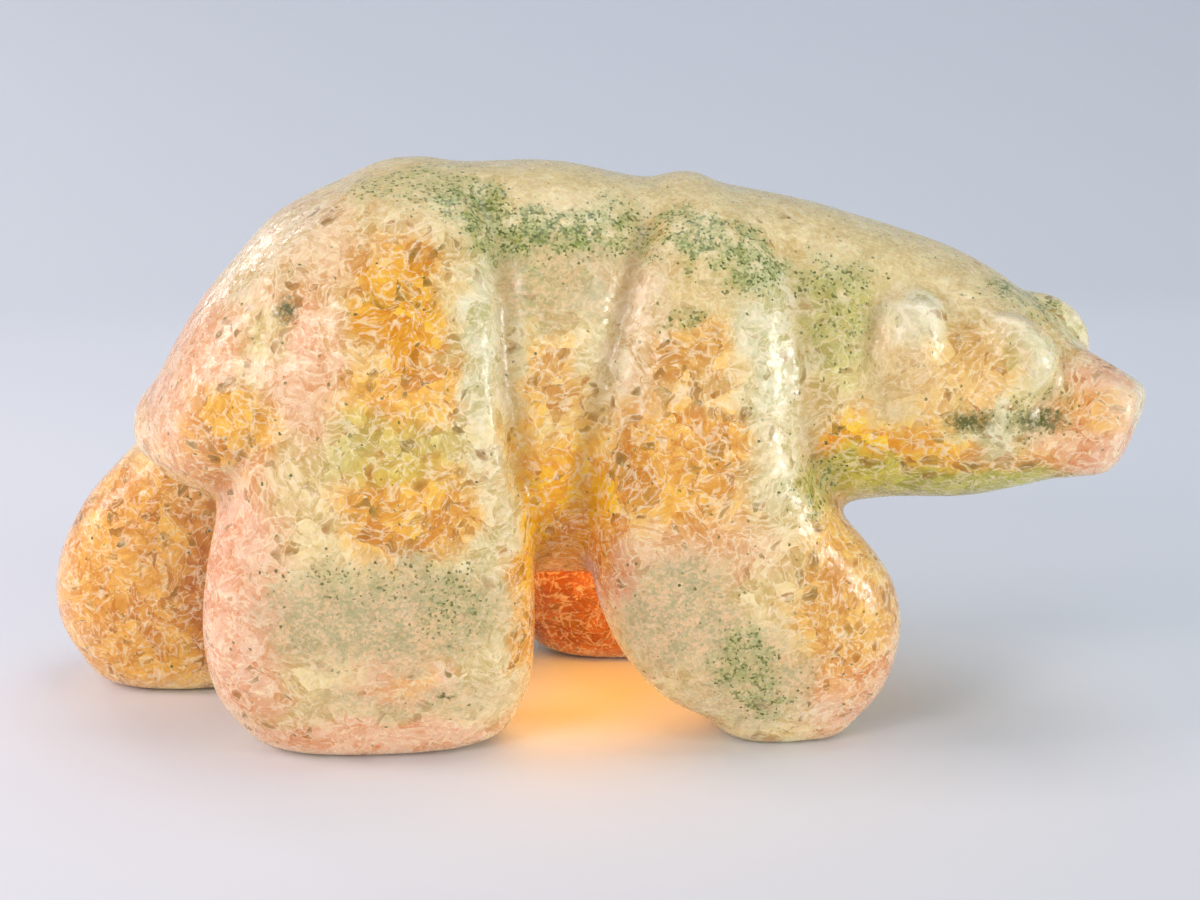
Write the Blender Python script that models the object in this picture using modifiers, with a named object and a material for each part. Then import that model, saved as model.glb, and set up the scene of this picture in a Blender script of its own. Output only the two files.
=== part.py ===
"""A walking bear carved from one block of mottled stone, standing on four ground soles.

Metres, +Z up, the trunk along X with its head end towards +X, the right flank towards -Y. The origin
is on the ground under the middle of the carving's box.

The form is blocked out the way a carver sees it: a spine from the rump to the nose, and a hind and a
fore arch that each run from one sole over the back to the other sole. The brows and ears are raised
on the head. The masses are fused into one skin, rubbed smooth and ground flat on the soles.

A place along the bear is a share of LENGTH, a place across it a share of WIDTH and a height a share
of HEIGHT, so each of the three can be changed by itself.
"""

import math
from dataclasses import dataclass

import bmesh
import bpy
import numpy as np
from mathutils import Matrix, Vector

# Driving dimensions of the block that the bear is cut from, in metres.
LENGTH = 0.305
HEIGHT = 0.160
WIDTH = 0.118

# The head is turned to the bear's right by this many degrees. Its nose ends at these shares.
HEAD_TURN = -30.0
NOSE_ALONG = 0.487
NOSE_SIDE = -0.373

# How far the muzzle's blunt end and the rump's end bulge, as shares of LENGTH.
MUZZLE_BULGE = 0.007
RUMP_BULGE = 0.016

# How far below the lowest ring a paw's rounded end reaches before it is ground flat, as a share of
# HEIGHT, and how much of it goes in the grinding, in metres.
PAW_ROUNDING = 0.035
SOLE_GRIND = 0.0016

# The stone's overall colour (linear) and polish.
STONE_COLOUR = (0.773, 0.571, 0.323, 1.0)
STONE_ROUGHNESS = 0.3

# Fineness of the work: the skin's grain in metres, the passes of smoothing and the facets left.
SKIN_GRAIN = 0.0016
RUBS_ON_MASSES = 8
RUBS_ON_DETAIL = 5
FACETS = 9400
RING_SIDES = 40
STEPS_BETWEEN_RINGS = 5
DOME_STEPS = 8
ROUND_DOME = 2.2
FLAT_DOME = 3.0
SAME_POINT = 0.000001
CREASE = math.radians(50)


@dataclass
class Ring:
    """One cross-section: a squared ellipse on two half axes, whose two ends can differ."""

    centre: Vector
    across: Vector
    through: Vector
    square_back: float
    square_front: float


def heading_of(turn):
    """The level direction turned from +X by some degrees, and the one to its left."""
    angle = math.radians(turn)
    return Vector((math.cos(angle), math.sin(angle), 0)), Vector((-math.sin(angle), math.cos(angle), 0))


def in_head(behind_nose, side, height):
    """A point of the head from its share behind the nose, its share to the left and its height."""
    forward, left = heading_of(HEAD_TURN)
    nose = Vector((NOSE_ALONG * LENGTH, NOSE_SIDE * WIDTH, height * HEIGHT))
    return nose - forward * behind_nose * LENGTH + left * side * WIDTH


def spine_ring(along, side, turn, top, bottom, half_width, square=2.2):
    """An upright cross-section of the spine, its heading turned from +X in degrees."""
    left = heading_of(turn)[1]
    centre = Vector((along * LENGTH, side * WIDTH, (top + bottom) / 2 * HEIGHT))
    through = Vector((0, 0, (top - bottom) / 2 * HEIGHT))
    return Ring(centre, half_width * WIDTH * left, through, square, square)


def head_ring(behind_nose, top, bottom, half_width, square=2.2, nod=0.0):
    """A cross-section of the head at a share behind the nose, its top pushed forward by nod."""
    forward, left = heading_of(HEAD_TURN)
    centre = in_head(behind_nose, 0, (top + bottom) / 2)
    through = Vector((0, 0, (top - bottom) / 2 * HEIGHT)) + forward * nod * LENGTH
    return Ring(centre, half_width * WIDTH * left, through, square, square)


def arch_ring(side, height, lean, depth, rear, front, square_back, square_front):
    """A cross-section of a leg's arch under one point of its outer face, which leans in by degrees."""
    angle = math.radians(lean)
    outward = Vector((0, math.copysign(math.cos(angle), side), math.sin(angle)))
    half_depth = depth / 2 * WIDTH
    face = Vector(((rear + front) / 2 * LENGTH, side * WIDTH, height * HEIGHT))
    across = Vector(((front - rear) / 2 * LENGTH, 0, 0))
    return Ring(face - outward * half_depth, across, outward * half_depth, square_back, square_front)


def spine_rings():
    """The rump, the back, the neck, the turned head and its blunt muzzle."""
    return [
        spine_ring(-0.404, 0.00, 0, 0.590, 0.485, 0.170),
        spine_ring(-0.383, 0.00, 0, 0.655, 0.452, 0.280),
        spine_ring(-0.350, 0.00, 0, 0.750, 0.425, 0.365),
        spine_ring(-0.290, 0.00, 0, 0.885, 0.370, 0.410),
        spine_ring(-0.230, 0.00, 0, 0.950, 0.320, 0.422),
        spine_ring(-0.170, 0.00, 0, 0.978, 0.275, 0.410),
        spine_ring(-0.100, 0.00, 0, 0.983, 0.262, 0.375),
        spine_ring(-0.030, 0.00, 0, 0.984, 0.257, 0.360),
        spine_ring(0.040, 0.00, 0, 0.955, 0.258, 0.355),
        spine_ring(0.110, 0.00, -2, 0.942, 0.290, 0.350),
        spine_ring(0.180, -0.01, -8, 0.915, 0.345, 0.345),
        spine_ring(0.238, -0.05, -20, 0.882, 0.385, 0.335),
        head_ring(0.218, 0.845, 0.400, 0.315),
        head_ring(0.165, 0.805, 0.412, 0.280),
        head_ring(0.118, 0.758, 0.437, 0.225),
        head_ring(0.090, 0.702, 0.455, 0.162),
        head_ring(0.070, 0.677, 0.462, 0.127, 2.6),
        head_ring(0.048, 0.651, 0.468, 0.108, 3.0, 0.008),
        head_ring(0.030, 0.628, 0.472, 0.096, 3.6, 0.013),
    ]


def hind_rings():
    """The haunches: from the right sole over the back to the left sole, which is a stride behind."""
    return [
        arch_ring(-0.370, 0.035, 0, 0.32, -0.325, -0.083, 2.6, 2.6),
        arch_ring(-0.415, 0.110, 0, 0.36, -0.350, -0.066, 2.8, 2.8),
        arch_ring(-0.452, 0.220, 0, 0.38, -0.358, -0.062, 2.8, 3.0),
        arch_ring(-0.465, 0.340, 0, 0.39, -0.352, -0.063, 2.8, 3.0),
        arch_ring(-0.468, 0.450, 0, 0.40, -0.338, -0.068, 2.4, 3.0),
        arch_ring(-0.462, 0.580, 4, 0.36, -0.325, -0.077, 1.8, 3.2),
        arch_ring(-0.442, 0.700, 14, 0.32, -0.325, -0.086, 1.7, 3.2),
        arch_ring(-0.392, 0.815, 28, 0.28, -0.315, -0.094, 1.7, 3.2),
        arch_ring(-0.300, 0.910, 46, 0.26, -0.290, -0.100, 1.7, 3.2),
        arch_ring(-0.165, 0.966, 68, 0.25, -0.255, -0.106, 1.8, 3.0),
        arch_ring(0.001, 0.994, 90, 0.25, -0.232, -0.109, 1.8, 2.8),
        arch_ring(0.165, 0.966, 68, 0.25, -0.255, -0.106, 1.8, 3.0),
        arch_ring(0.300, 0.910, 46, 0.26, -0.292, -0.100, 1.7, 3.2),
        arch_ring(0.392, 0.815, 28, 0.28, -0.320, -0.096, 1.7, 3.2),
        arch_ring(0.442, 0.700, 14, 0.32, -0.345, -0.100, 1.7, 3.2),
        arch_ring(0.462, 0.580, 4, 0.36, -0.385, -0.122, 1.9, 3.0),
        arch_ring(0.462, 0.450, 0, 0.38, -0.433, -0.172, 2.4, 2.8),
        arch_ring(0.460, 0.350, 0, 0.36, -0.482, -0.215, 2.8, 2.8),
        arch_ring(0.455, 0.240, 0, 0.36, -0.512, -0.245, 2.8, 2.8),
        arch_ring(0.448, 0.130, 0, 0.37, -0.514, -0.262, 2.8, 2.8),
        arch_ring(0.425, 0.035, 0, 0.33, -0.488, -0.280, 2.6, 2.6),
    ]


def fore_rings():
    """The shoulders: from the right sole over the withers to the left sole, which is set back."""
    return [
        arch_ring(-0.362, 0.030, 0, 0.27, 0.098, 0.235, 2.4, 2.4),
        arch_ring(-0.408, 0.090, 0, 0.32, 0.047, 0.258, 2.6, 2.6),
        arch_ring(-0.435, 0.180, 0, 0.35, 0.010, 0.270, 2.8, 2.6),
        arch_ring(-0.442, 0.265, 0, 0.36, -0.007, 0.266, 2.8, 2.6),
        arch_ring(-0.442, 0.335, 0, 0.37, -0.013, 0.244, 2.8, 2.6),
        arch_ring(-0.438, 0.420, 0, 0.38, -0.012, 0.206, 3.0, 2.6),
        arch_ring(-0.428, 0.530, 3, 0.36, -0.004, 0.180, 3.2, 2.6),
        arch_ring(-0.408, 0.660, 10, 0.32, 0.009, 0.171, 3.2, 2.6),
        arch_ring(-0.365, 0.780, 24, 0.28, 0.022, 0.166, 3.2, 2.4),
        arch_ring(-0.285, 0.873, 44, 0.25, 0.032, 0.157, 3.2, 2.2),
        arch_ring(-0.155, 0.937, 68, 0.23, 0.038, 0.142, 2.8, 2.0),
        arch_ring(0.001, 0.966, 90, 0.22, 0.042, 0.126, 2.4, 1.9),
        arch_ring(0.155, 0.937, 68, 0.23, 0.038, 0.142, 2.8, 2.0),
        arch_ring(0.285, 0.873, 44, 0.25, 0.032, 0.157, 3.2, 2.2),
        arch_ring(0.375, 0.780, 24, 0.28, 0.020, 0.166, 3.2, 2.4),
        arch_ring(0.428, 0.660, 10, 0.32, 0.004, 0.171, 3.2, 2.6),
        arch_ring(0.462, 0.530, 0, 0.36, -0.018, 0.172, 3.0, 2.6),
        arch_ring(0.490, 0.400, -4, 0.37, -0.045, 0.172, 2.8, 2.6),
        arch_ring(0.512, 0.270, -4, 0.36, -0.070, 0.172, 2.8, 2.6),
        arch_ring(0.520, 0.150, 0, 0.34, -0.080, 0.170, 2.8, 2.6),
        arch_ring(0.500, 0.035, 0, 0.27, -0.055, 0.150, 2.4, 2.4),
    ]


def smooth_between(rings):
    """Rings set closely along a smooth curve through the given ones."""
    rows = np.array([[*r.centre, *r.across, *r.through, r.square_back, r.square_front] for r in rings])
    padded = np.vstack([2 * rows[0] - rows[1], rows, 2 * rows[-1] - rows[-2]])
    dense = []
    for i in range(1, len(padded) - 2):
        before, start, end, after = padded[i - 1 : i + 3]
        for step in range(STEPS_BETWEEN_RINGS):
            t = step / STEPS_BETWEEN_RINGS
            slope = (end - before) / 2
            bend = before - 2.5 * start + 2 * end - after / 2
            swing = 1.5 * (start - end) + (after - before) / 2
            dense.append(start + slope * t + bend * t**2 + swing * t**3)
    dense.append(padded[-2])
    return [Ring(Vector(r[0:3]), Vector(r[3:6]), Vector(r[6:9]), r[9], r[10]) for r in dense]


def dome(ring, depth, square):
    """Rings that close an end with a squared dome, from the end ring outwards along depth."""
    closing = []
    for step in range(1, DOME_STEPS):
        angle = math.pi / 2 * step / DOME_STEPS
        shrink = math.cos(angle) ** (2 / square)
        centre = ring.centre + depth * math.sin(angle) ** (2 / square)
        across = ring.across * shrink
        closing.append(Ring(centre, across, ring.through * shrink, ring.square_back, ring.square_front))
    return closing


def outline(ring):
    """The points of one ring."""
    points = []
    for side in range(RING_SIDES):
        angle = math.tau * side / RING_SIDES
        cosine, sine = math.cos(angle), math.sin(angle)
        power = 2 / (ring.square_front if cosine > 0 else ring.square_back)
        along = math.copysign(abs(cosine) ** power, cosine)
        out = math.copysign(abs(sine) ** power, sine)
        points.append(ring.centre + ring.across * along + ring.through * out)
    return points


def loft(name, rings, start_depth, end_depth, end_square=ROUND_DOME):
    """A closed mass through the rings, with a dome of the given depth at each end."""
    dense = smooth_between(rings)
    start = dome(dense[0], start_depth, ROUND_DOME)
    dense = start[::-1] + dense + dome(dense[-1], end_depth, end_square)
    mesh = bmesh.new()
    loops = [[mesh.verts.new(point) for point in outline(ring)] for ring in dense]
    for low, high in zip(loops, loops[1:]):
        for i in range(RING_SIDES):
            j = (i + 1) % RING_SIDES
            mesh.faces.new((low[i], low[j], high[j], high[i]))
    mesh.faces.new(loops[0][::-1])
    mesh.faces.new(loops[-1])
    bmesh.ops.recalc_face_normals(mesh, faces=mesh.faces)
    data = bpy.data.meshes.new(name)
    mesh.to_mesh(data)
    mesh.free()
    mass = bpy.data.objects.new(name, data)
    bpy.context.scene.collection.objects.link(mass)
    return mass


def pebble(name, centre, radii, turn, tip):
    """An ellipsoid turned about Z, its front end tipped down, both in degrees."""
    bpy.ops.mesh.primitive_uv_sphere_add(segments=32, ring_count=16, radius=1.0)
    mass = bpy.context.object
    mass.name = name
    turned = Matrix.Rotation(math.radians(turn), 4, "Z") @ Matrix.Rotation(math.radians(tip), 4, "Y")
    mass.data.transform(Matrix.Translation(centre) @ turned @ Matrix.Diagonal((*radii, 1.0)))
    return mass


def body_masses():
    """The spine and the two arches of legs."""
    forward = heading_of(HEAD_TURN)[0]
    muzzle = MUZZLE_BULGE * LENGTH * forward
    rump = Vector((-RUMP_BULGE * LENGTH, 0, 0))
    paw = Vector((0, 0, -PAW_ROUNDING * HEIGHT - SOLE_GRIND))
    return [
        loft("spine", spine_rings(), rump, muzzle, FLAT_DOME),
        loft("haunches", hind_rings(), paw, paw),
        loft("shoulders", fore_rings(), paw, paw),
    ]


def head_details():
    """The two long brows above the muzzle's root and the two low ears behind them."""
    brow = (0.052 * LENGTH, 0.078 * WIDTH, 0.076 * HEIGHT)
    ear = (0.034 * LENGTH, 0.078 * WIDTH, 0.096 * HEIGHT)
    raised = []
    for name, side in (("right", -1), ("left", 1)):
        brow_place = in_head(0.126, 0.142 * side, 0.681)
        ear_place = in_head(0.194, 0.230 * side, 0.690)
        raised.append(pebble("brow_" + name, brow_place, brow, HEAD_TURN - 6 * side, 18))
        raised.append(pebble("ear_" + name, ear_place, ear, HEAD_TURN + 12 * side, -18))
    return raised


def apply(obj, name, kind, **settings):
    """Adds one modifier with its settings and applies it."""
    modifier = obj.modifiers.new(name, kind)
    for key, value in settings.items():
        setattr(modifier, key, value)
    bpy.context.view_layer.objects.active = obj
    bpy.ops.object.modifier_apply(modifier=modifier.name)


def fuse(masses, rubs):
    """Fuses overlapping masses into one skin and rubs its creases soft."""
    bpy.ops.object.select_all(action="DESELECT")
    for mass in masses:
        mass.select_set(True)
    bpy.context.view_layer.objects.active = masses[0]
    bpy.ops.object.join()
    block = masses[0]
    apply(block, "fuse", "REMESH", mode="VOXEL", voxel_size=SKIN_GRAIN)
    apply(block, "rub", "SMOOTH", factor=0.5, iterations=rubs)
    return block


def facet(block):
    """Leaves about as many triangles as FACETS says, fewer where the skin is flat."""
    block.data.calc_loop_triangles()
    share = FACETS / len(block.data.loop_triangles)
    apply(block, "facet", "DECIMATE", decimate_type="COLLAPSE", ratio=share)


def grind_soles(block):
    """Cuts the paws flat at the ground and closes each cut with one flat sole."""
    mesh = bmesh.new()
    mesh.from_mesh(block.data)
    everything = mesh.verts[:] + mesh.edges[:] + mesh.faces[:]
    ground = {"plane_co": (0, 0, 0), "plane_no": (0, 0, -1), "clear_outer": True, "dist": SAME_POINT}
    cut = bmesh.ops.bisect_plane(mesh, geom=everything, **ground)
    rims = [item for item in cut["geom_cut"] if isinstance(item, bmesh.types.BMEdge)]
    bmesh.ops.holes_fill(mesh, edges=rims)
    bmesh.ops.triangulate(mesh, faces=mesh.faces)
    mesh.to_mesh(block.data)
    mesh.free()


def stand_on_origin(block):
    """Moves the carving so that the origin is under the middle of its box."""
    places = np.array([vertex.co for vertex in block.data.vertices])
    low, high = places.min(axis=0), places.max(axis=0)
    middle = (low + high) / 2
    block.data.transform(Matrix.Translation((-middle[0], -middle[1], -low[2])))


def mottled_stone():
    """The polished stone of the whole carving."""
    material = bpy.data.materials.new("mottled_stone")
    material.use_nodes = True
    shader = material.node_tree.nodes["Principled BSDF"]
    shader.inputs["Base Color"].default_value = STONE_COLOUR
    shader.inputs["Roughness"].default_value = STONE_ROUGHNESS
    shader.inputs["Metallic"].default_value = 0.0
    return material


def main():
    for obj in list(bpy.data.objects):
        bpy.data.objects.remove(obj)
    block = fuse(body_masses(), RUBS_ON_MASSES)
    bear = fuse([block] + head_details(), RUBS_ON_DETAIL)
    facet(bear)
    grind_soles(bear)
    stand_on_origin(bear)
    bear.name = "bear"
    bear.data.name = "bear"
    bear.data.shade_smooth()
    bear.data.set_sharp_from_angle(angle=CREASE)
    bear.data.materials.clear()
    bear.data.materials.append(mottled_stone())
    carving = bpy.data.collections.new("soapstone_bear_carving")
    bpy.context.scene.collection.children.link(carving)
    bpy.context.scene.collection.objects.unlink(bear)
    carving.objects.link(bear)


main()
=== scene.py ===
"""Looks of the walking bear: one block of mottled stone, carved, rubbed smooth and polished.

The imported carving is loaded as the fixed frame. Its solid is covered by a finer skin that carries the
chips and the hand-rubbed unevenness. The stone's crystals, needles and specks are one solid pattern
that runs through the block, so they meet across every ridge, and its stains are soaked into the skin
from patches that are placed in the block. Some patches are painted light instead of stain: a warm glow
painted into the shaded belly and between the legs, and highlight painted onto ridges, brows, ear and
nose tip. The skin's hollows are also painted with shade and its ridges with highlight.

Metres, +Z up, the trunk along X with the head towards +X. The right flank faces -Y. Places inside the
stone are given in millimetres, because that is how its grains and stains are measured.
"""

import logging
import math
from dataclasses import dataclass
from enum import Enum

import bpy
import numpy as np
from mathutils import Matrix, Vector, noise


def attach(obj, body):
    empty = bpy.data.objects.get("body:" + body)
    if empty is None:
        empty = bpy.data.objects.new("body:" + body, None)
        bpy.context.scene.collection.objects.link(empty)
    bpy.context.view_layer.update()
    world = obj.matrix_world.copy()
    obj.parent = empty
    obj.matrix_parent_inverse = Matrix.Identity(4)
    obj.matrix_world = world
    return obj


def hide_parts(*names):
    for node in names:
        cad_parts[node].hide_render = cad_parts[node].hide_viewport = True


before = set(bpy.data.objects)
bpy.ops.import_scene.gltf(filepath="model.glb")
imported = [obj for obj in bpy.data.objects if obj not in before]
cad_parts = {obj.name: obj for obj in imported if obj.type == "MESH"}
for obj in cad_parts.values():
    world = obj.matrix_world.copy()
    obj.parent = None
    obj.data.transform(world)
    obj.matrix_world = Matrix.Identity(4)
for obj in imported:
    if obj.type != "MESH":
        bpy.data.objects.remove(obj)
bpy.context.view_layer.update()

log = logging.getLogger("bear_scene")

Tree = bpy.types.NodeTree
Node = bpy.types.Node
Socket = bpy.types.NodeSocket
Triple = tuple[float, float, float]
Colour = tuple[float, float, float, float]

MM = 0.001

# The middle of a random colour, from which a random direction is measured.
HALF = (0.5, 0.5, 0.5)

# The skin's attribute that holds its hollows and ridges, which set where shade and highlight are painted.
RELIEF_NAME = "hollow_and_ridge"


def linear(hex_colour: str) -> Colour:
    """Turns an sRGB hex colour into a linear one.

    Args:
        hex_colour: the colour as "#RRGGBB".

    Returns:
        Linear red, green and blue, with an alpha of 1.
    """
    shares = [int(hex_colour[i : i + 2], 16) / 255 for i in (1, 3, 5)]
    bent = [s / 12.92 if s <= 0.04045 else ((s + 0.055) / 1.055) ** 2.4 for s in shares]
    return (bent[0], bent[1], bent[2], 1.0)


def add_node(tree: Tree, kind: str, settings: dict, inputs: dict) -> Node:
    """Adds one node with its settings and links.

    Args:
        tree: the node tree that the node goes into.
        kind: the node's type name.
        settings: the node's own properties by name.
        inputs: a value, or an output to link from, by the input's name or number.

    Returns:
        The new node.
    """
    node = tree.nodes.new(kind)
    for name, value in settings.items():
        setattr(node, name, value)
    for key, value in inputs.items():
        if isinstance(value, Socket):
            tree.links.new(value, node.inputs[key])
        else:
            node.inputs[key].default_value = value
    return node


def add_noise(tree: Tree, place: Socket, wave_mm: float, detail: float, roughness: float = 0.5) -> Node:
    """Adds a cloudy pattern.

    Args:
        tree: the node tree.
        place: where in the block it is read.
        wave_mm: the width of its waves.
        detail: how many times the waves are broken up finer.
        roughness: how strong the finer waves are.

    Returns:
        The pattern's node.
    """
    inputs = {"Vector": place, "Scale": 1 / wave_mm, "Detail": detail, "Roughness": roughness}
    return add_node(tree, "ShaderNodeTexNoise", {}, inputs)


def add_cells(tree: Tree, place: Socket, size_mm: float, feature: str = "F1") -> Node:
    """Packs the block with grains of one size, each with a random colour."""
    inputs = {"Vector": place, "Scale": 1 / size_mm}
    return add_node(tree, "ShaderNodeTexVoronoi", {"feature": feature}, inputs)


def add_range(
    tree: Tree, value: Socket, low: float | Socket, high: float, start: float = 0.0, end: float = 1.0
) -> Socket:
    """Stretches a number from one range to another, and keeps it within that.

    Args:
        tree: the node tree.
        value: the number.
        low: what becomes the start.
        high: what becomes the end.
        start: the new range's start.
        end: the new range's end.

    Returns:
        The stretched number.
    """
    inputs = {"Value": value, 1: low, 2: high, 3: start, 4: end}
    return add_node(tree, "ShaderNodeMapRange", {}, inputs).outputs[0]


def add_sum(tree: Tree, operation: str, *values: float | Socket) -> Socket:
    """Works out one sum with numbers."""
    inputs = dict(enumerate(values))
    return add_node(tree, "ShaderNodeMath", {"operation": operation}, inputs).outputs[0]


def add_vector_sum(tree: Tree, operation: str, *values: Triple | Socket) -> Socket:
    """Works out one sum with vectors, which gives a vector."""
    inputs = dict(enumerate(values))
    return add_node(tree, "ShaderNodeVectorMath", {"operation": operation}, inputs).outputs[0]


def add_measure(tree: Tree, operation: str, *values: Triple | Socket) -> Socket:
    """Works out one sum with vectors, which gives a number."""
    inputs = dict(enumerate(values))
    return add_node(tree, "ShaderNodeVectorMath", {"operation": operation}, inputs).outputs["Value"]


def add_mix(tree: Tree, share: Socket, first: Colour | Socket, second: Colour | Socket) -> Socket:
    """Mixes two colours: the first alone where the share is 0, and the second alone where it is 1."""
    inputs = {0: share, 6: first, 7: second}
    return add_node(tree, "ShaderNodeMix", {"data_type": "RGBA"}, inputs).outputs[2]


def random_shares(tree: Tree, grains: Node) -> bpy.types.bpy_prop_collection:
    """Gives each grain three random numbers from 0 to 1."""
    return add_node(tree, "ShaderNodeSeparateColor", {}, {0: grains.outputs["Color"]}).outputs


def read_vector(tree: Tree, name: str) -> bpy.types.bpy_prop_collection:
    """Reads the three channels of one of the skin's attributes."""
    read = add_node(tree, "ShaderNodeAttribute", {"attribute_name": name}, {})
    return add_node(tree, "ShaderNodeSeparateXYZ", {}, {0: read.outputs["Vector"]}).outputs


def new_material(name: str) -> bpy.types.Material:
    """Starts a material with no nodes."""
    material = bpy.data.materials.new(name)
    material.use_nodes = True
    material.node_tree.nodes.clear()
    return material


def add_surface(tree: Tree, inputs: dict) -> None:
    """Ends a material's nodes with its surface, by the surface's own inputs."""
    shader = add_node(tree, "ShaderNodeBsdfPrincipled", {}, inputs)
    add_node(tree, "ShaderNodeOutputMaterial", {}, {"Surface": shader.outputs["BSDF"]})


class Stain(Enum):
    """What ground water and neighbouring minerals did to a part of the block, and where light is painted
    into it: the deep orange is a painted warm glow in the shade under the belly and between the legs, the
    gold is in places a painted glow and a painted crease shade, and the pale frost is in places a painted
    highlight.

    Each is kept in one channel of a vector attribute on the skin.
    """

    AMBER = ("stain_warm", 0)
    GOLD = ("stain_warm", 1)
    # Painted glow: the deep orange that light through the stone gives the shaded belly and the insides of
    # the legs.
    RUST = ("stain_warm", 2)
    PEACH = ("stain_pale", 0)
    FROST = ("stain_pale", 1)
    CHALK = ("stain_pale", 2)
    HAZE = ("stain_green", 0)
    MOSS = ("stain_green", 1)
    OLIVE = ("stain_green", 2)


@dataclass(frozen=True)
class Patch:
    """A stained part of the block, or one with painted glow, shade or highlight: a soft-edged ellipsoid, in
    millimetres.
    """

    stain: Stain
    centre: Triple
    reach: Triple
    strength: float


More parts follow.
